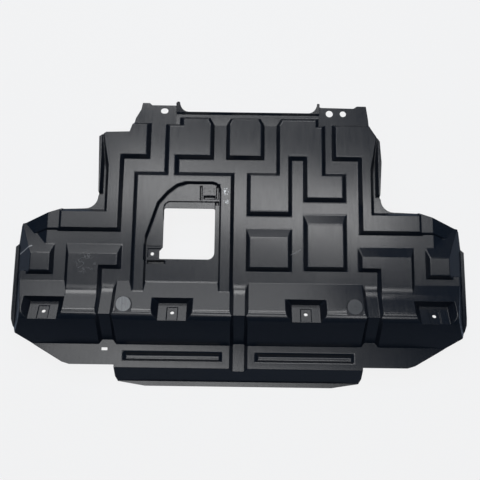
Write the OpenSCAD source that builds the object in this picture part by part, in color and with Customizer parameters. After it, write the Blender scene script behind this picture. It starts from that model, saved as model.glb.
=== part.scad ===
// Engine undertray (sump guard): one moulded sheet with raised panels, a front ramp and a flange.
// Millimetres. X runs across the car, +Y to the rear, +Z up, and Z = 0 is the floor of the channels.

/* [Sheet] */
// Thickness of the moulded sheet
wall = 3; // [2.4:0.1:3.6]
// Height of the raised panels above the channels
panel_h = 12; // [9:0.5:14]
// Horizontal run of a panel's drafted wall
run = 8; // [6:0.5:9.5]
// Half of the width across the side flanges
half_w = 528; // [500:1:560]
// Distance from the origin to the rear edge of the bolt tabs
rear_y = 339; // [330:1:350]
// Distance from the origin to the front edge of the lip
front_y = 311; // [306:1:318]

/* [Front] */
// Height of the ridge above the channel floor
ridge_z = 41; // [34:1:49]
// Depth of the front flange below the channel floor
flange_z = 35; // [29:1:41]
// Further drop from the flange to the lip
lip_drop = 40; // [33:1:46]
// Depth of the channels that cross the ramp
channel_d = 8; // [6:0.5:9.5]
// Depth of the long grooves in the flange
groove_d = 8; // [6:0.5:9.5]

/* [Fixing points] */
// Depth of the four bolt pads below the ramp
pad_d = 17; // [14:0.5:20]
// Diameter of the bolt hole in each pad
pad_hole = 9; // [7:0.5:11]
// Distance of the inner pads from the centre line
pad_inner_x = 150; // [145:1:155]
// Diameter of the larger bolt hole in the rear tabs
rear_hole = 17; // [14:0.5:18]
// Diameter of the dimple in each round boss
boss_hole = 5; // [4:0.5:6]
// Diameter of the round bosses on the ramp
boss_d = 35; // [29:1:38]

/* [Service opening] */
// Distance of the opening's left edge from the centre line
open_left = 178; // [172:1:182]
// Distance of the opening's right edge from the centre line
open_right = 59; // [55:1:66]
// Rear edge of the opening
open_rear = 86; // [76:1:90]
// Front edge of the opening, ahead of the middle of the tray
open_front = 35; // [30:1:37]

/* [Hidden] */
deep = 130;
wide = 600;
ramp_y = -88;
lip_y = -front_y;
edge_y = lip_y + 30;
foot_y = lip_y + 82;
ridge_y = lip_y + 144;
ramp_a = atan(ridge_z / (ramp_y - ridge_y));
front_a = atan((ridge_z + flange_z) / (ridge_y - foot_y));
channel_x = 300.5;
channel_half = 13;
pad_outer_x = half_w - 89.5;
pads = [-pad_outer_x, -pad_inner_x, pad_inner_x, pad_outer_x];
boss_x = 257.5;
ridge_r = 20;
lip_z = flange_z + lip_drop;

// The ridge is an arc from the ramp to the front wall, with its centre below the corner
ridge_t = ridge_r * tan((ramp_a + front_a) / 2);
ridge_c = [ridge_y + ridge_t * cos(ramp_a) - ridge_r * sin(ramp_a),
           ridge_z - ridge_t * sin(ramp_a) - ridge_r * cos(ramp_a)];
ramp_line = [
    [ramp_y + 30, -30 * tan(ramp_a)],
    for (k = [0:5])
        let (t = k * (ramp_a + front_a) / 5 - ramp_a)
        ridge_c + ridge_r * [-sin(t), cos(t)],
    [foot_y - 30, -flange_z - 30 * tan(front_a)]];
apron_line = [[100, -flange_z], [edge_y, -flange_z], [lip_y, -lip_z], [lip_y - 40, -lip_z]];

// Moves an open line to its lower side by g, with mitred corners
function unit(v) = v / norm(v);
function turned(d) = [-d[1], d[0]];
function lowered(line, g) =
    let (n = len(line) - 1)
    [for (k = [0:n])
        let (a = turned(unit(line[max(k, 1)] - line[max(k, 1) - 1])))
        let (b = turned(unit(line[min(k, n - 1) + 1] - line[min(k, n - 1)])))
        line[k] + g * (a + b) / (1 + a * b)];

// Moves a closed anticlockwise outline outwards by g, with mitred corners
function grown(outline, g) =
    let (n = len(outline))
    [for (k = [0:n - 1])
        let (a = -turned(unit(outline[k] - outline[(k + n - 1) % n])))
        let (b = -turned(unit(outline[(k + 1) % n] - outline[k])))
        outline[k] + g * (a + b) / (1 + a * b)];

function arc(c, r, from, to, n = 6) =
    [for (k = [0:n]) let (a = from + (to - from) * k / n) c + r * [cos(a), sin(a)]];
function mirrored(points) = [for (k = [len(points) - 1:-1:0]) [-points[k][0], points[k][1]]];
function corners(r) = [[r[0], r[2]], [r[1], r[2]], [r[1], r[3]], [r[0], r[3]]];

// Horizontal shift that a wall of this run over this height needs for a skin of thickness g
function skin(g, h, s) = g * norm([h, s]) / h;

// Rectangle [x0, x1, y0, y1] at height z, when its walls lean in by runs [left, right, front, rear]
// over the height h
function leaned(r, runs, h, z, g) =
    let (s = [for (k = [0:3]) runs[k] * z / h + skin(g, h, runs[k])])
    corners([r[0] + s[0], r[1] - s[1], r[2] + s[2], r[3] - s[3]]);

// Solid between a plan outline at z0 and another with as many points at z1
module loft(low, high, z0, z1) {
    n = len(low);
    polyhedron(
        [for (p = low) [p[0], p[1], z0], for (p = high) [p[0], p[1], z1]],
        [[for (k = [0:n - 1]) k], [for (k = [n - 1:-1:0]) n + k],
         for (k = [0:n - 1]) [k, n + k, n + (k + 1) % n, (k + 1) % n]]);
}

// Raised panel with its foot r on the channel floor; g is the depth below the upper skin
module panel(r, g, runs = [run, run, run, run], h = panel_h, sink = 9) {
    loft(leaned(r, runs, h, -sink, g), leaned(r, runs, h, h - g, g), -sink, h - g);
}

// Pocket with its floor r at the depth d; g is the thickness by which the skin widens it
module pocket(r, d, g, runs, above = 25) {
    loft(leaned(r, -runs, d, -g, -g), leaned(r, -runs, d, d + above, -g), -d - g, above);
}

// The same two for a foot or a floor of any outline, whose walls all lean by the same run
module raised(points, g, h = panel_h, s = run, sink = 9) {
    m = skin(g, h, s);
    loft(grown(points, s * sink / h - m), grown(points, -s * (h - g) / h - m), -sink, h - g);
}

module sunk(points, d, g, s, above = 25) {
    m = skin(g, d, s);
    loft(grown(points, m - s * g / d), grown(points, m + s * (d + above) / d), -d - g, above);
}

// Solid under a line in the YZ plane, between x0 and x1
module under(line, x0, x1, g) {
    low = lowered(line, g);
    last = len(low) - 1;
    translate([x0, 0, 0]) rotate([90, 0, 90])
        linear_extrude(x1 - x0)
            polygon([each low, [low[last][0], -deep - g], [low[0][0], -deep - g]]);
}

// Prism along Y with sides that lean from +-x0 at z0 to +-x1 at z1, used to trim a body
module sides(x0, z0, x1, z1, y0, y1, g) {
    m = skin(g, z0 - z1, x1 - x0);
    slope = (x1 - x0) / (z1 - z0);
    a = x0 - m + slope * (60 - z0);
    b = x1 - m + slope * (-60 - z1);
    translate([0, y1 - g, 0]) rotate([90, 0, 0])
        linear_extrude(y1 - g - y0)
            polygon([[-b, -60], [b, -60], [a, 60], [-a, 60]]);
}

// Channel across the ramp and down the front wall, as one pocket square to each
module ramp_channel(x, g) {
    runs = [run, run, 0, 0];
    on_ramp(x)
        pocket([-channel_half, channel_half, -170, 60], channel_d, g, runs);
    translate([x, ridge_y, ridge_z]) rotate([front_a, 0, 0])
        pocket([-channel_half + 1, channel_half - 1, -170, 90], channel_d, g, runs);
}

// Ramp, ridge and front wall, with three channels sunk in them, and the deck behind
module front_body(g) {
    intersection() {
        sides(half_w - 43, ridge_z, half_w - 9, -flange_z, -300, -66, g);
        union() {
            difference() {
                under(ramp_line, -wide, wide, g);
                for (x = [-channel_x, 0, channel_x])
                    ramp_channel(x, g);
            }
            under([[0, 0], [-150, 0]], -wide, wide, g);
        }
    }
}

// Floors of the deck, the wings, the rims and the flange
module floors(g) {
    difference() {
        under(apron_line, -wide, wide, g);
        translate([0, 0, -flange_z])
            pocket([-channel_half, channel_half, -340, -200], groove_d, g, [run, run, 0, 0]);
    }
    under([[rear_y + 30, 0], [20, 0]], -400, 400, g);
    intersection() {
        sides(half_w - 79, 0, half_w - 16, -flange_z, -80, 100, g);
        under([[100, 0], [-100, 0]], -wide, wide, g);
    }
}

// Panels at one side, drawn for the right, and mirrored for the left. The rim and its groove are
// set further out by the amount out.
module side_panels(g, out) {
    // Outer panel: rear block with a strip, the rim beside it, and the branch along the wing
    panel([215, 312 + out, 204, rear_y - 45], g);
    raised([[290 + out, 176], [310.2 + out, 176], [327 + out, 262], [327 + out, rear_y - 45],
            [290 + out, rear_y - 45]], g);
    panel([276, 311 + out, 62, 280], g);
    panel([315 + out, 354 + out, 117, 300], g, [7, run, 4, run]);
    panel([276, 423, 27, 80], g);
    panel([half_w - 117, half_w - 71, 30, 130], g, [4, 11, 3, 3], h = 6, sink = 45);
    // Hooked panel with a long rear slope, running down into the ramp
    panel([272, 400, -60, -2], g, [run, run, run, 24]);
    panel([315, 400, -140, -20], g);
    // Outer block over the side wall
    panel([half_w - 101, half_w - 38.5, -74, -2], g, [run, 10.5, run, 24], sink = 50);
}

// Panels of the deck
module deck_panels(g) {
    ends = rear_y - 30;
    panel([-179, -74, 204, rear_y - 47], g);
    raised([[-146, 204], [-64, 204], [-64, ends - 19], [-74, ends], [-146, ends]], g);
    panel([-179, -147, 150, 230], g);
    raised([[-36, 204], [55, 204], [55, ends - 19], [45, ends], [-26, ends], [-36, ends - 19]], g);
    raised([[83, 204], [184, 204], [184, ends], [93, ends], [83, ends - 19]], g);
    panel([93, 198.6, 204, rear_y - 47], g);
    panel([83, 119, 69, 230], g);
    panel([147, 198.6, 104, 230], g);
    panel([14, 119, 69, 172.5], g);
    panel([147, 246, 104, 172.5], g);
    panel([147, 246, -59, 74], g, [run, run, run, 25]);
    panel([14, 119, -61, 39], g, [run, run, run, 23]);
    // Upturned rear edge, which climbs to a horn beside each tab
    under([[rear_y + 21, 22], [rear_y + 2, 18], [rear_y - 19, 6.5], [rear_y - 23.5, 1.5],
           [ends - 20, 0]], -156, 185, g);
}

recess = [[-49, -130], [-49, 126], [-52, 135], [-58, 141.5], [-66, 144], [-127, 144],
          [-148, 137], [-169, 120], [-190, 95], [-216, 13], [-216, -130]];
recess_run = 3;

// Frame round the service opening, with a recess inside it that is curved at the rear left
module service_frame(g) {
    m = skin(g, panel_h, recess_run);
    difference() {
        panel([-250, -15, -140, 172.5], g, [run, run, run, run + 3]);
        loft(grown(recess, m - recess_run / 2), grown(recess, m + recess_run * 1.5),
             -panel_h / 2, panel_h * 1.5);
    }
}

// Places a shape in the plane of the ramp, with its origin at the foot of the ramp
module on_ramp(x) {
    translate([x, ramp_y, 0]) rotate([-ramp_a, 0, 0]) children();
}

// Bolt pad set parallel to the ramp, open through the front wall
module pad_pocket(x, g) {
    on_ramp(x)
        pocket([-32, 32, -160, -47], pad_d, g, [14, 14, 4, 4], above = 40);
}

// Round boss with a level top, standing on the ramp beside the ridge
module ramp_boss(x, g) {
    translate([x, ridge_y + 24, 0]) {
        translate([0, 0, -20])
            cylinder(h = ridge_z + 15 - g, d = boss_d - 2 * g, $fn = 48);
        translate([-boss_d / 2 + g, -18, -20])
            cube([boss_d - 2 * g, 18, ridge_z + 15 - g]);
    }
}

// The solid under the upper face of the sheet, sunk by g
module form(g) {
    difference() {
        union() {
            floors(g);
            front_body(g);
            deck_panels(g);
            service_frame(g);
            side_panels(g, 0);
            mirror([1, 0, 0]) side_panels(g, 6.5);
        }
        for (x = pads) {
            pad_pocket(x, g);
            on_ramp(x)
                translate([0, 0, -pad_d])
                    pocket([-11.5, 11.5, -90, -58], 2.5, g, [1, 1, 1, 1]);
        }
        for (s = [-1, 1])
            translate([s * 151.5, 0, -flange_z])
                pocket([-107, 107, edge_y + 20, edge_y + 29], groove_d, g, [6.5, 6.5, 4.3, 7.5]);
        opening_step(g);
        clip_seats(g);
    }
    for (x = [-boss_x, boss_x])
        ramp_boss(x, g);
    panel([-213, -184, -6, -1.5], g, [1, 1, 1, 1], h = 2.5, sink = 5);
}

// Step down along the rear edge of the opening, round at its left end
module opening_step(g) {
    step_y = open_rear + 15;
    sunk([[-60, 60], [-60, step_y], each arc([-163, step_y - 15], 15, 90, 180, 4), [-178, 60]], 3, g, 1.5);
}

// Two clip seats: slits at both sides, a catch slot and a hook of the rear one, and the front one
// with its slot
module clip_seats(g) {
    walls = [1.2, 1.2, 1.2, 1.2];
    pocket([-93.5, -91, 106, 139], 7, g, walls);
    pocket([-56, -51.5, 109, 138], 7, g, walls);
    pocket([-85, -60, 109, 114.5], 9, g, walls);
    pocket([-57.5, -51.5, 94, 102], 9, g, walls);
    pocket([-211, -183.4, -30.7, -12], 3, g, [2, 2, 2, 2]);
    pocket([-212, -174, -46, -39.5], 12, g, walls);
}

// Plan outline of the whole sheet, anticlockwise from the lip
front_right = [
    [217, lip_y - 11], [280, lip_y - 1], [285, lip_y + 11], [285, edge_y + 6], [387, edge_y + 6],
    [404, edge_y + 11], [half_w - 60, foot_y - 4], [half_w - 17, foot_y + 24],
    [half_w - 6, foot_y + 39], [half_w - 1, foot_y + 54], [half_w, foot_y + 69], [half_w, -5],
    [half_w - 8, 2], [half_w - 13, 43], [half_w - 16, 49], [half_w - 91, 73], [half_w - 113, 80]];
rear_right = [[325, 118], [330, 200], [327, 251], [312, 273], [304.5, 285], [302.5, 310],
              [298, rear_y + 3.5], [276, rear_y + 3.5], [268, rear_y - 2], [191, rear_y - 1],
              [182, rear_y + 2], each arc([159, rear_y + 2], 20, 0, -90)];
rear_left = [each arc([-127, rear_y + 2], 20, -90, -180), [-152, rear_y + 3], [-156, rear_y],
             [-215, rear_y], [-221, rear_y + 5.5], [-238, rear_y + 5.5], [-241, 328], [-253, 306],
             [-255, 298], [-265, 268], [-320, 266], [-336, 255], [-331, 118]];

module outline() {
    polygon([each front_right, each arc([358, 112], 30, 270, 180), each rear_right, each rear_left,
             each mirrored(arc([363, 112], 30, 270, 180)), each mirrored(front_right)]);
}

// Service opening with rounded corners and a step at its left
module opening() {
    r = 5;
    polygon([
        each arc([-open_right - r, open_rear - r], r, 0, 90),
        each arc([-open_left + r, open_rear - r], r, 90, 180),
        [-open_left, -8], [-186, -16],
        each arc([-186 + 3, -open_front + 3], 3, 180, 270, 3),
        each arc([-open_right - 16, -open_front + 16], 16, 270, 360)]);
}

module hole(x, y, d) {
    translate([x, y, -60]) cylinder(h = 140, d = d, $fn = 32);
}

// Round dimple whose floor is d below the height z
module dimple(x, y, z, size, d) {
    translate([x, y, z - d]) cylinder(h = 20, d = size, $fn = 24);
}

guard_sheet();

module guard_sheet() {
    color([0.08, 0.08, 0.09])
    difference() {
        intersection() {
            difference() {
                form(0);
                form(wall);
            }
            translate([0, 0, -100]) linear_extrude(160) outline();
        }
        translate([0, 0, -60]) linear_extrude(120) opening();
        // Rear tabs: an oval hole at the left, two round ones at the right
        hole(210, rear_y - 16, rear_hole);
        hole(242.5, rear_y - 16, rear_hole - 2);
        for (x = [-187, -183])
            hole(x, rear_y - 14, rear_hole - 3);
        translate([-187, rear_y - 14 - (rear_hole - 3) / 2, -60]) cube([4, rear_hole - 3, 100]);
        for (x = pads)
            on_ramp(x)
                translate([0, -70, -pad_d - 20]) cylinder(h = 40, d = pad_hole, $fn = 32);
        for (x = [-boss_x, boss_x])
            dimple(x, ridge_y + 24, ridge_z - 5, boss_hole, 1.8);
        dimple(-72, 126, 0, 5, 1.5);
        hole(-202, -23, 8);
        // Slot in one tab of the flange, dimple in the other
        translate([-channel_x - 14, foot_y - 14, -60]) cube([14, 6.5, 60]);
        dimple(channel_x + 8.5, foot_y - 6, -flange_z, 5, 1.5);
    }
}
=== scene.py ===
# %% [markdown]
# A sump guard, dressed for the camera
#
# The object is one moulded sheet of black plastic: raised panels between narrow channels, a ramp
# that climbs to a ridge, a steep front wall and a flange. Its shape comes from the packed frame.
# What is left for this file is what a moulding tool gives a real sheet and a CAD solid lacks: soft
# edges, a satin skin with fine flow lines, and the pale scuffs of handling, beside a few highlights
# painted pale into the colour.

# %% Load the frame
import math

import bmesh
import bpy
from mathutils import Euler, Matrix, Vector


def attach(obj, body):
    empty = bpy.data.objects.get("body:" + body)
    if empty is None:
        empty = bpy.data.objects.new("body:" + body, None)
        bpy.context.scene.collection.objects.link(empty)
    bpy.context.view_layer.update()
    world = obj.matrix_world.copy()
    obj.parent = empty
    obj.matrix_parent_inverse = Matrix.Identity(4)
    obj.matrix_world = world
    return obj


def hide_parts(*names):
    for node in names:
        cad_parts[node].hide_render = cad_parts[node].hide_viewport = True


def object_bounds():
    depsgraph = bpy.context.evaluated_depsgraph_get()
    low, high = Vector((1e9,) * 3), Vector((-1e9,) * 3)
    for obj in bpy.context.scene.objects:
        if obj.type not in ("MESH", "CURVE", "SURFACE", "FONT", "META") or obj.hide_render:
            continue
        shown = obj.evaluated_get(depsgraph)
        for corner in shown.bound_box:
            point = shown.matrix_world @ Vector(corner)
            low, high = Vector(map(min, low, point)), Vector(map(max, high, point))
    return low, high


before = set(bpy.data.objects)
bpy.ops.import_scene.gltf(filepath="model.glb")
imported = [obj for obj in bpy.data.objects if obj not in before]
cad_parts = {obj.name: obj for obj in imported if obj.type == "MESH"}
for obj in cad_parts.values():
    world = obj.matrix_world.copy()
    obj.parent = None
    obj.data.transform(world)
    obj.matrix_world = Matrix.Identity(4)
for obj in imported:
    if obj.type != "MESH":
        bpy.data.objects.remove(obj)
cad_box = [list(corner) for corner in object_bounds()]
MM = 0.001
print("nodes", list(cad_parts), "box", cad_box)

# %% [markdown]
# The camera comes first, because every later choice is judged through it. The photograph looks
# almost straight down: the tray's front edge leans 11 degrees towards the lens, and the picture is
# turned by less than a degree. The numbers were fitted to the outline and the ramp, so that one
# camera suits both, and they aren't moved later to hide a fault in the shape.

# %% Camera
PHOTO_W = 480
FOCAL_PX = 692
SENSOR_W = 36.0
FAR = 50.0
DISTANCE = 1.6
LEAN = math.radians(11.0)
ROLL = math.radians(0.8)
AIM = Vector((0.0, 0.0118, 0.0))


def make_camera():
    data = bpy.data.cameras.new("camera")
    data.sensor_fit = "HORIZONTAL"
    data.sensor_width = SENSOR_W
    data.lens = FOCAL_PX / PHOTO_W * SENSOR_W
    data.clip_end = FAR
    camera = bpy.data.objects.new("camera", data)
    bpy.context.collection.objects.link(camera)
    camera.location = AIM + DISTANCE * Vector((0.0, -math.sin(LEAN), math.cos(LEAN)))
    turn = Euler((LEAN, 0.0, 0.0)).to_matrix() @ Matrix.Rotation(ROLL, 3, "Z")
    camera.rotation_euler = turn.to_euler()
    bpy.context.scene.camera = camera
    return camera


camera = make_camera()
print("camera at", [round(v, 3) for v in camera.location], "lens", round(camera.data.lens, 1))

# %% [markdown]
# Shader maths reads best as plain expressions. Math nodes could be placed and wired one by one, but
# a single formula soon takes twenty lines that way. A small class wraps a socket instead, so that
# `1 - mask * 0.5` adds the Math nodes by itself.

# %% A number that varies over a surface
class Value:
    """An output socket of a node tree, which can be added, multiplied and so on"""

    def __init__(self, tree, socket):
        self.tree = tree
        self.socket = socket

    def math(self, operation, a, b=None, clamp=False):
        node = self.tree.nodes.new("ShaderNodeMath")
        node.operation = operation
        node.use_clamp = clamp
        for place, item in zip(node.inputs, (a, b)):
            if isinstance(item, Value):
                self.tree.links.new(item.socket, place)
            elif item is not None:
                place.default_value = item
        return Value(self.tree, node.outputs[0])

    def __add__(self, other): return self.math("ADD", self, other)
    def __radd__(self, other): return self.math("ADD", other, self)
    def __sub__(self, other): return self.math("SUBTRACT", self, other)
    def __rsub__(self, other): return self.math("SUBTRACT", other, self)
    def __mul__(self, other): return self.math("MULTIPLY", self, other)
    def __pow__(self, other): return self.math("POWER", self, other)

    def clamped(self): return self.math("ADD", self, 0.0, clamp=True)
    def above(self, level): return self.math("GREATER_THAN", self, level)
    def absolute(self): return self.math("ABSOLUTE", self)

    def ramp(self, low, high):
        """0 below low, 1 above high, straight between"""
        return ((self - low) * (1.0 / (high - low))).clamped()


print("numbers know", [name for name in vars(Value) if not name.startswith("_")])

# %% [markdown]
# A material is a tree of nodes as well. The second class holds one, and makes the few kinds of node
# that this part needs: the place on the object, noise, and a mix of two colours. Object coordinates
# are used throughout, because they are in metres, so a mark stays where it is put on the part.

# %% A material and its nodes
class Surface:
    """A material and its node tree"""

    def __init__(self, name):
        self.material = bpy.data.materials.new(name)
        self.material.use_nodes = True
        self.tree = self.material.node_tree
        self.shader = next(n for n in self.tree.nodes if n.type == "BSDF_PRINCIPLED")
        self.output = next(n for n in self.tree.nodes if n.type == "OUTPUT_MATERIAL")

    def node(self, kind, settings=None, **inputs):
        node = self.tree.nodes.new(kind)
        for name, value in (settings or {}).items():
            setattr(node, name, value)
        for name, value in inputs.items():
            self.feed(node.inputs[name.replace("_", " ")], value)
        return node

    def feed(self, place, value):
        if isinstance(value, Value):
            self.tree.links.new(value.socket, place)
        elif isinstance(value, bpy.types.NodeSocket):
            self.tree.links.new(value, place)
        else:
            place.default_value = value

    def value(self, socket):
        return Value(self.tree, socket)

    def place(self):
        """Object coordinates, in metres"""
        return self.node("ShaderNodeTexCoord").outputs["Object"]

    def axes(self):
        split = self.node("ShaderNodeSeparateXYZ", Vector=self.place())
        return [self.value(split.outputs[k]) for k in range(3)]

    def noise(self, scale, stretch=(1.0, 1.0, 1.0), detail=3.0, rough=0.5):
        mapped = self.node("ShaderNodeMapping", Vector=self.place(), Scale=stretch)
        texture = self.node("ShaderNodeTexNoise", Vector=mapped.outputs[0],
                            Scale=scale, Detail=detail, Roughness=rough)
        return self.value(texture.outputs["Fac"])

    def mix(self, amount, a, b):
        node = self.node("ShaderNodeMix", {"data_type": "RGBA"})
        colour_a, colour_b, mixed = node.inputs[6], node.inputs[7], node.outputs[2]
        self.feed(node.inputs["Factor"], amount)
        self.feed(colour_a, a)
        self.feed(colour_b, b)
        return mixed


print("materials know", [name for name in vars(Surface) if not name.startswith("_")])

# %% [markdown]
# A used tray shows where it was handled. The photograph has pale scuffs right of the service
# opening, fine scratches on the left wing and a nick between two panels. Two more pale marks are
# painted highlights, not wear: a bright line along the crease at the left rim, and the paler tops
# of the two round bosses, where the light catches them. Each mark is a place in millimetres with a
# soft rim. A painted picture could hold them too, but a formula stays sharp at any distance.

# %% Marks of use, and painted highlights
SCUFFS = ((-34.5, 124.0, 10.0), (-33.0, 100.0, 7.0))     # x, y, radius
SCRATCHED = (-350.0, -46.0, 30.0)
# Places of the painted highlights on the tops of the two round bosses
PAINTED_BOSS_HIGHLIGHTS = ((-257.5, -143.0, 17.2), (257.5, -143.0, 17.2))
NICK = ((116.0, -23.0), (141.0, -9.0), 1.1)              # start, end, width
# Painted highlight: a bright line along the crease at the left wing's rim, not a scratch
PAINTED_RIM_HIGHLIGHT = ((-515.0, -24.0), (-478.0, -8.0), 2.4)


def spot(axes, mark, soft=0.35):
    """1 inside a round mark that is given in millimetres, with a soft rim"""
    x, y, radius = (v * MM for v in mark)
    away = ((axes[0] - x) ** 2.0 + (axes[1] - y) ** 2.0) ** 0.5
    return 1.0 - away.ramp(radius * (1.0 - soft), radius)


def stroke(axes, start, end, width):
    """1 along a straight line between two points in millimetres, for a scratch and for a painted
    highlight
    """
    length = math.dist(start, end)
    ux, uy = (end[0] - start[0]) / length, (end[1] - start[1]) / length
    dx, dy = axes[0] - start[0] * MM, axes[1] - start[1] * MM
    along = (dx * ux + dy * uy) * (1.0 / (length * MM))
    off = (dx * uy - dy * ux).absolute()
    core = 1.0 - off.ramp(width * 0.3 * MM, width * MM)
    return core * along.above(0.0) * (1.0 - along.above(1.0))


def wear_and_painted_highlights(skin):
    """How far the surface is paled by scuffs and by painted highlights, from 0 to 1"""
    axes = skin.axes()
    chips = skin.noise(260.0).ramp(0.50, 0.60)
    wiggle = (skin.noise(55.0, detail=2.0) - 0.5).absolute()
    scuffs = (spot(axes, SCUFFS[0]) + spot(axes, SCUFFS[1]) * 0.8) * chips
    scratches = spot(axes, SCRATCHED) * (1.0 - wiggle.ramp(0.004, 0.014)) * 0.10
    # The nick is wear; the rim line is a painted highlight along a crease
    nick_and_rim_highlight = stroke(axes, *NICK) * 0.12 + stroke(axes, *PAINTED_RIM_HIGHLIGHT) * 0.30
    # Painted highlight: the boss tops are made paler where the light catches them, the left one
    # more
    painted_boss_tops = spot(axes, PAINTED_BOSS_HIGHLIGHTS[0], 0.08) * 0.22 + spot(axes, PAINTED_BOSS_HIGHLIGHTS[1], 0.08) * 0.06
    return (scuffs + scratches + nick_and_rim_highlight + painted_boss_tops).clamped()


print("marks", [*SCUFFS, SCRATCHED, *PAINTED_BOSS_HIGHLIGHTS, NICK, PAINTED_RIM_HIGHLIGHT])

# %% [markdown]
# The skin of the sheet is black plastic with a satin finish. The moulding leaves fine streaks that
# run from front to rear, as the texture of the tool does, and the light catches them. One stretched
# noise makes the streaks in the colour, the gloss and the height alike, because on the real sheet
# they are one and the same thing. Where the skin is scuffed, it is paler and duller, and the same
# is done where a highlight is painted into the colour.

# %% Moulded plastic
SKIN = (0.003, 0.0045, 0.008, 1.0)
DUSTY = (0.007, 0.008, 0.0105, 1.0)
# Pale colour for the scuffs, and for the painted highlights on the rim and the boss tops
SCUFF_AND_HIGHLIGHT = (0.62, 0.64, 0.65, 1.0)
GLOSS, UNEVEN, DULLED = 0.15, 0.12, 0.3      # roughness: the least, its changes, and when scuffed
PLASTIC_IOR = 1.49
BUMP_DEPTH = 0.6 * MM


def moulded_plastic():
    skin = Surface("moulded_plastic")
    streaks = skin.noise(60.0, stretch=(4.0, 0.35, 1.0), detail=4.0, rough=0.6)
    cloud = skin.noise(7.0)
    grain = skin.noise(900.0, detail=2.0)
    paled_by_wear_and_highlight = wear_and_painted_highlights(skin)
    tone = (streaks * 0.5 + cloud * 0.5).ramp(0.35, 0.7)
    # The pale mix holds real scuffs and painted highlights alike
    colour = skin.mix(paled_by_wear_and_highlight, skin.mix(tone, SKIN, DUSTY), SCUFF_AND_HIGHLIGHT)
    # The same mask dulls the gloss at the scuffs and at the painted highlights
    rough = GLOSS + streaks * UNEVEN + (cloud - 0.5) * UNEVEN + paled_by_wear_and_highlight * DULLED
    height = streaks * 0.7 + grain * 0.3
    bump = skin.node("ShaderNodeBump", Strength=0.2, Distance=BUMP_DEPTH, Height=height)
    skin.feed(skin.shader.inputs["Base Color"], colour)
    skin.feed(skin.shader.inputs["Roughness"], rough)
    skin.feed(skin.shader.inputs["IOR"], PLASTIC_IOR)
    skin.feed(skin.shader.inputs["Normal"], bump.outputs[0])
    return skin


plastic = moulded_plastic()
print("material", plastic.material.name, len(plastic.tree.nodes), "nodes")

# %% [markdown]
# Where a channel or one of the two wide outer panels meets the ramp, the real sheet bends in a wide
# curve, which shows as a broad bright band. The CAD model has a plain crease there. A wide bevel
# would swallow the small steps beside it, so each strip is cut across nine times instead, and the
# points of the cuts are lifted onto a parabola that meets both faces. Only faces over the strip are
# cut, and only between its own sides.

# %% Foot of the ramp
RAMP_RISE = 0.519
BEND_HALF = 16.0 * MM
BEND_CUTS = 8
SIDE_STEP = 1.0 * MM
FEET = (      # y of the crease, z of the level face, left x and right x, in millimetres
    (-105.4, 0.0, -313.5, -287.5), (-105.4, 0.0, -13.0, 13.0), (-105.4, 0.0, 287.5, 313.5),
    (-111.1, 12.0, -392.0, -323.0), (-111.1, 12.0, 323.0, 392.0))


def cut_faces(work, left, right, place, normal):
    """Cuts the faces that reach over a strip of the tray, and no others"""
    faces = [f for f in work.faces if min(v.co.x for v in f.verts) < right - SIDE_STEP
             and max(v.co.x for v in f.verts) > left + SIDE_STEP]
    geom = set(faces) | {e for f in faces for e in f.edges} | {v for f in faces for v in f.verts}
    bmesh.ops.bisect_plane(work, geom=list(geom), dist=1e-5, plane_co=place, plane_no=normal)


def soften_ramp_foot(work, crease, level, left, right):
    """Turns the hollow crease between a level strip and the ramp into a wide curve"""
    for k in range(BEND_CUTS + 1):
        y = crease + BEND_HALF * (2.0 * k / BEND_CUTS - 1.0)
        cut_faces(work, left, right, (0.0, y, 0.0), (0.0, 1.0, 0.0))
    for x in (left - SIDE_STEP, left, right, right + SIDE_STEP):
        cut_faces(work, left, right, (x, 0.0, 0.0), (1.0, 0.0, 0.0))
    for vert in work.verts:
        behind = vert.co.y - crease
        height = vert.co.z - level
        inside = abs(behind) < BEND_HALF and left - 0.1 * MM < vert.co.x < right + 0.1 * MM
        if inside and abs(height - max(0.0, -behind * RAMP_RISE)) < 0.05 * MM:
            vert.co.z = level + RAMP_RISE * (BEND_HALF - behind) ** 2 / (4.0 * BEND_HALF)


print("strips to bend", len(FEET))

# %% [markdown]
# The packed solid arrives as triangles. The copy joins them into whole flat faces first, because a
# rounding needs to know which edges are real creases and which only cross a flat face. The curves
# at the ramp's foot are cut into it next. Faces with a hollow corner are then split into convex
# ones, which no later step can fold over.

# %% Merged copy of the solid
SAME_PLACE = 0.02 * MM
SAME_PLANE = math.radians(0.6)


def merged_copy(node, name):
    """The node's mesh as a piece of its own, with its triangles joined into whole, convex faces"""
    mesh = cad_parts[node].data.copy()
    piece = bpy.data.objects.new(name, mesh)
    bpy.context.collection.objects.link(piece)
    work = bmesh.new()
    work.from_mesh(mesh)
    bmesh.ops.remove_doubles(work, verts=work.verts, dist=SAME_PLACE)
    bmesh.ops.dissolve_limit(work, angle_limit=SAME_PLANE, verts=work.verts, edges=work.edges)
    for foot in FEET:
        soften_ramp_foot(work, *(MM * v for v in foot))
    bmesh.ops.connect_verts_concave(work, faces=work.faces)
    work.to_mesh(mesh)
    work.free()
    return piece


tray = merged_copy("guard_sheet", "moulded_tray")
print("merged copy", len(tray.data.vertices), "points", len(tray.data.polygons), "faces")

# %% [markdown]
# A moulded sheet has no sharp edge, because the plastic is drawn over a rounded tool. One radius
# for the whole part would be simplest, but where two creases lie close, their roundings would run
# into each other. So each crease gets a weight: the full radius where there is room, and less
# beside a narrow step.

# %% Width of each rounding
EDGE_R = 2.6 * MM
CREASE = math.radians(17.0)
ROOM = 0.3


def room_beside(edge):
    """Shortest way from an edge to anything else that could meet its rounding"""
    start, end = (vert.co for vert in edge.verts)
    along = (end - start).normalized()
    room = edge.calc_length()
    for face in edge.link_faces:
        offsets = [v.co - start for v in face.verts]
        room = min(room, max((off - along * off.dot(along)).length for off in offsets))
    for vert in edge.verts:
        room = min([room] + [other.calc_length() for other in vert.link_edges])
    return room


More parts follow.
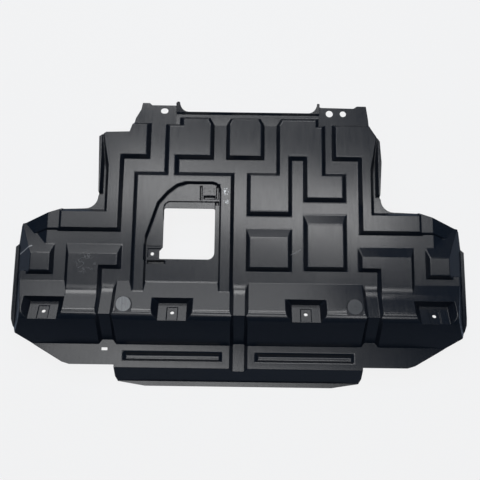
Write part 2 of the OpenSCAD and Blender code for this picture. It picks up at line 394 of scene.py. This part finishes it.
def weigh_edges(mesh):
    """Bevel weight of each crease, as a part of the widest rounding"""
    work = bmesh.new()
    work.from_mesh(mesh)
    weights = []
    for edge in work.edges:
        width = 0.0
        if len(edge.link_faces) == 2 and edge.calc_face_angle() > CREASE:
            width = min(EDGE_R, ROOM * room_beside(edge))
        weights.append(width / EDGE_R)
    work.free()
    layer = mesh.attributes.new("bevel_weight_edge", "FLOAT", "EDGE")
    layer.data.foreach_set("value", weights)
    return sum(w == 1.0 for w in weights), sum(w > 0 for w in weights)


print("creases with the full radius, and all of them", weigh_edges(tray.data))

# %% [markdown]
# The bevel modifier rounds by those weights. It puts the new faces in a second material slot, which
# is only a label: the next step has to tell the roundings from the flats. The result is turned into
# a plain mesh at once.

# %% Rounded creases
FLAT, ROUNDING = 0, 1


def apply_modifiers(piece):
    graph = bpy.context.evaluated_depsgraph_get()
    applied = bpy.data.meshes.new_from_object(piece.evaluated_get(graph))
    piece.modifiers.clear()
    piece.data = applied


def round_creases(piece):
    for _ in (FLAT, ROUNDING):
        piece.data.materials.append(plastic.material)
    bevel = piece.modifiers.new("edges", "BEVEL")
    bevel.material = ROUNDING
    bevel.limit_method = "WEIGHT"
    bevel.width = EDGE_R
    bevel.segments = 4
    bevel.use_clamp_overlap = False
    apply_modifiers(piece)


round_creases(tray)
rounded = sum(face.material_index == ROUNDING for face in tray.data.polygons)
print("roundings", rounded, "of", len(tray.data.polygons), "faces")

# %% [markdown]
# Smooth shading everywhere would tint the flat panels near their rims, and flat shading would show
# each facet of a rounding. So a rounding is blended with what it touches, and so are the narrow
# facets that make up a curve, while an edge between two flat faces stays sharp. Weighted normals
# then let the large flat faces win, and the tray is ready to stand in for the plain solid.

# %% Tray with moulded edges
NARROW = 5.0 * MM
LEVEL_TURN = math.radians(1.0)


def keep_flats_flat(mesh):
    """Blends the roundings and the narrow facets of curves, and leaves every other edge sharp"""
    work = bmesh.new()
    work.from_mesh(mesh)
    for face in work.faces:
        face.smooth = True
        face.tag = face.calc_area() / max(edge.calc_length() for edge in face.edges) < NARROW
    for edge in work.edges:
        turn = edge.calc_face_angle(0.0)
        rounding = any(face.material_index == ROUNDING for face in edge.link_faces)
        curve = turn < CREASE and any(face.tag for face in edge.link_faces)
        edge.smooth = rounding or curve or turn < LEVEL_TURN
    for face in work.faces:
        face.material_index = FLAT
    work.to_mesh(mesh)
    work.free()
    return sum(edge.use_edge_sharp for edge in mesh.edges)


print("sharp edges", keep_flats_flat(tray.data))
normals = tray.modifiers.new("normals", "WEIGHTED_NORMAL")
normals.keep_sharp = True
apply_modifiers(tray)
tray.data.materials.clear()
tray.data.materials.append(plastic.material)
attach(tray, "root")
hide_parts("guard_sheet")
print("tray", len(tray.data.vertices), "points", len(tray.data.polygons), "faces")

# %% [markdown]
# A spring clip grips the seat beside the service opening, so three sides of the seat carry a row of
# fine ribs. Boxes could be placed by hand, but the ribs follow a rule, one at each pitch of a path,
# so a node tree makes them. Its inputs are the pitch and the size of a rib. It turns each rib along
# the path, and ends in real geometry with the plastic's material on it.

# %% Tree for ribs on a path
def rib_tree():
    tree = bpy.data.node_groups.new("ribs_on_path", "GeometryNodeTree")
    sockets = tree.interface
    sockets.new_socket("Geometry", in_out="INPUT", socket_type="NodeSocketGeometry")
    for name in ("Pitch", "Length", "Width", "Height"):
        sockets.new_socket(name, in_out="INPUT", socket_type="NodeSocketFloat")
    sockets.new_socket("Material", in_out="INPUT", socket_type="NodeSocketMaterial")
    sockets.new_socket("Geometry", in_out="OUTPUT", socket_type="NodeSocketGeometry")
    add, link = tree.nodes.new, tree.links.new
    given, out = add("NodeGroupInput"), add("NodeGroupOutput")
    curve, steps = add("GeometryNodeMeshToCurve"), add("GeometryNodeResampleCurve")
    steps.mode = "LENGTH"
    size, rib = add("ShaderNodeCombineXYZ"), add("GeometryNodeMeshCube")
    tangent, turn = add("GeometryNodeInputTangent"), add("FunctionNodeAlignRotationToVector")
    turn.axis = "Y"
    place, solid = add("GeometryNodeInstanceOnPoints"), add("GeometryNodeRealizeInstances")
    paint = add("GeometryNodeSetMaterial")
    link(given.outputs["Geometry"], curve.inputs["Mesh"])
    link(curve.outputs["Curve"], steps.inputs["Curve"])
    link(given.outputs["Pitch"], steps.inputs["Length"])
    for axis, name in zip("XYZ", ("Length", "Width", "Height")):
        link(given.outputs[name], size.inputs[axis])
    link(size.outputs[0], rib.inputs["Size"])
    link(tangent.outputs[0], turn.inputs["Vector"])
    link(steps.outputs["Curve"], place.inputs["Points"])
    link(rib.outputs["Mesh"], place.inputs["Instance"])
    link(turn.outputs["Rotation"], place.inputs["Rotation"])
    link(place.outputs["Instances"], solid.inputs["Geometry"])
    link(solid.outputs["Geometry"], paint.inputs["Geometry"])
    link(given.outputs["Material"], paint.inputs["Material"])
    link(paint.outputs["Geometry"], out.inputs["Geometry"])
    return tree


ribs_on_path = rib_tree()
print("rib tree", len(ribs_on_path.nodes), "nodes")

# %% [markdown]
# The path is an open mesh of four points around the seat. Each input is set by its socket's
# identifier, before the object is first evaluated. The result becomes a plain mesh with one
# material, because the tree leaves an empty slot before the one that it fills.

# %% Ribs of the clip seat
RIB_PATH = ((-85.5, 117.5, 0.0), (-85.5, 137.0, 0.0), (-62.0, 137.0, 0.0), (-62.0, 117.5, 0.0))
RIB_SIZES = {"Pitch": 3.4 * MM, "Length": 5.0 * MM, "Width": 1.7 * MM, "Height": 2.4 * MM}
CUBE_FACES = 6


def clip_ribs():
    mesh = bpy.data.meshes.new("clip_ribs")
    points = [[v * MM for v in point] for point in RIB_PATH]
    mesh.from_pydata(points, [(0, 1), (1, 2), (2, 3)], [])
    ribs = bpy.data.objects.new("clip_ribs", mesh)
    bpy.context.collection.objects.link(ribs)
    nodes = ribs.modifiers.new("ribs", "NODES")
    nodes.node_group = ribs_on_path
    values = {**RIB_SIZES, "Material": plastic.material}
    for item in ribs_on_path.interface.items_tree:
        if item.in_out == "INPUT" and item.name in values:
            nodes[item.identifier] = values[item.name]
    apply_modifiers(ribs)
    ribs.data.materials.clear()
    ribs.data.materials.append(plastic.material)
    ribs.data.polygons.foreach_set("material_index", [0] * len(ribs.data.polygons))
    return ribs


ribs = clip_ribs()
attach(ribs, "root")
print("ribs", len(ribs.data.polygons) // CUBE_FACES)

# %% [markdown]
# The photograph has a plain white background, so the camera sees the floor almost white, with a
# little of its own shade left in, and the tray still stands on something. A white floor would also
# be mirrored in the walls that face forward, which the photograph shows nearly black. So the glow
# is for camera rays only, and for every other ray the floor is a dull blue grey.

# %% Floor
FLOOR_Z = cad_box[0][2]
FLOOR_HALF = 6.0
FLOOR_COLOUR = (0.16, 0.19, 0.24, 1.0)
FLOOR_GLOW = 0.86


def make_floor():
    mesh = bpy.data.meshes.new("floor")
    corners = [(x * FLOOR_HALF, y * FLOOR_HALF, FLOOR_Z)
               for x, y in ((-1, -1), (1, -1), (1, 1), (-1, 1))]
    mesh.from_pydata(corners, [], [(0, 1, 2, 3)])
    floor = bpy.data.objects.new("floor", mesh)
    bpy.context.collection.objects.link(floor)
    paint = Surface("floor_paint")
    paint.feed(paint.shader.inputs["Base Color"], FLOOR_COLOUR)
    paint.feed(paint.shader.inputs["Roughness"], 0.9)
    paint.feed(paint.shader.inputs["Specular IOR Level"], 0.1)
    glow = paint.node("ShaderNodeEmission", Color=(1.0, 1.0, 1.0, 1.0), Strength=1.0)
    seen = paint.value(paint.node("ShaderNodeLightPath").outputs["Is Camera Ray"])
    mix = paint.node("ShaderNodeMixShader")
    for place, item in zip(mix.inputs, (seen * FLOOR_GLOW, paint.shader.outputs[0],
                                        glow.outputs[0])):
        paint.feed(place, item)
    paint.feed(paint.output.inputs["Surface"], mix.outputs[0])
    mesh.materials.append(paint.material)
    return floor


floor = make_floor()
print("floor at", round(FLOOR_Z, 4))

# %% [markdown]
# Satin plastic is seen by what it mirrors, so each lamp is placed where one group of faces mirrors
# it into the camera. The key lamp shows in the level faces at the middle of the deck, and the left
# and right ones in the wings. The front lamp shows in the flange and the lip. The glint stands
# further back, for the curve at the ramp's foot and the rounded ridge, and the lamp behind is low
# and far, for the ramp itself. A wide, weak panel overhead lifts everything a little. The steep
# front walls mirror none of them, and stay nearly black as in the photograph.

# %% Lamps
LAMPS = {      # width and depth, place and aim in metres, then the brightness that the eye sees
    "key": ((1.35, 0.26), (0.06, 0.50, 1.60), (0.0, 0.1, 0.0), 7.0),
    "glint": ((1.8, 0.44), (-0.18, 1.41, 1.60), (0.0, -0.1, 0.0), 8.4),
    "overhead": ((3.2, 1.6), (-0.05, 0.0, 2.5), (0.0, 0.0, 0.0), 0.65),
    "left": ((0.5, 0.34), (-0.87, 0.44, 1.60), (-0.2, 0.0, 0.0), 2.2),
    "right": ((0.5, 0.34), (0.97, 0.40, 1.60), (0.2, 0.0, 0.0), 1.7),
    "front": ((1.9, 0.38), (-0.05, -0.44, 1.60), (0.0, -0.28, 0.0), 3.7),
    "behind": ((1.9, 0.6), (-0.40, 2.1, 1.28), (0.0, -0.1, 0.0), 2.4),
}


def softbox(name, size, place, aim, radiance):
    """Rectangular lamp, with the power that gives it that brightness"""
    data = bpy.data.lights.new(name, "AREA")
    data.shape = "RECTANGLE"
    data.size, data.size_y = size
    data.energy = radiance * math.pi * size[0] * size[1]
    lamp = bpy.data.objects.new(name, data)
    bpy.context.collection.objects.link(lamp)
    lamp.location = place
    lamp.rotation_euler = (Vector(aim) - Vector(place)).to_track_quat("-Z", "Y").to_euler()
    return lamp


for lamp_name, settings in LAMPS.items():
    softbox(lamp_name, *settings)

# %% [markdown]
# Round the tray there is only a dim blue sky, which gives the dark walls their cold tint. From the
# side the camera would look past the floor into that dark blue, so camera rays meet a pale backdrop
# instead, of about the floor's shade. Colours are shown by the plain Standard transform.

# %% Sky and backdrop
SKY = (0.35, 0.60, 1.0, 1.0)
SKY_LEVEL = 0.12
BACKDROP = (0.90, 0.91, 0.92, 1.0)


def make_world():
    world = bpy.data.worlds.new("world")
    world.use_nodes = True
    nodes, links = world.node_tree.nodes, world.node_tree.links
    sky = next(n for n in nodes if n.type == "BACKGROUND")
    sky.inputs["Color"].default_value = SKY
    sky.inputs["Strength"].default_value = SKY_LEVEL
    backdrop = nodes.new("ShaderNodeBackground")
    backdrop.inputs["Color"].default_value = BACKDROP
    path, choice = nodes.new("ShaderNodeLightPath"), nodes.new("ShaderNodeMixShader")
    output = next(n for n in nodes if n.type == "OUTPUT_WORLD")
    links.new(path.outputs["Is Camera Ray"], choice.inputs[0])
    links.new(sky.outputs[0], choice.inputs[1])
    links.new(backdrop.outputs[0], choice.inputs[2])
    links.new(choice.outputs[0], output.inputs["Surface"])
    return world


bpy.context.scene.world = make_world()
bpy.context.scene.view_settings.view_transform = "Standard"
print("world", len(bpy.context.scene.world.node_tree.nodes), "nodes")

# %% [markdown]
# The two boxes, the CAD model's and the dressed model's, should agree to a tenth of a millimetre,
# because edges are only rounded, and the ribs stand inside the box.
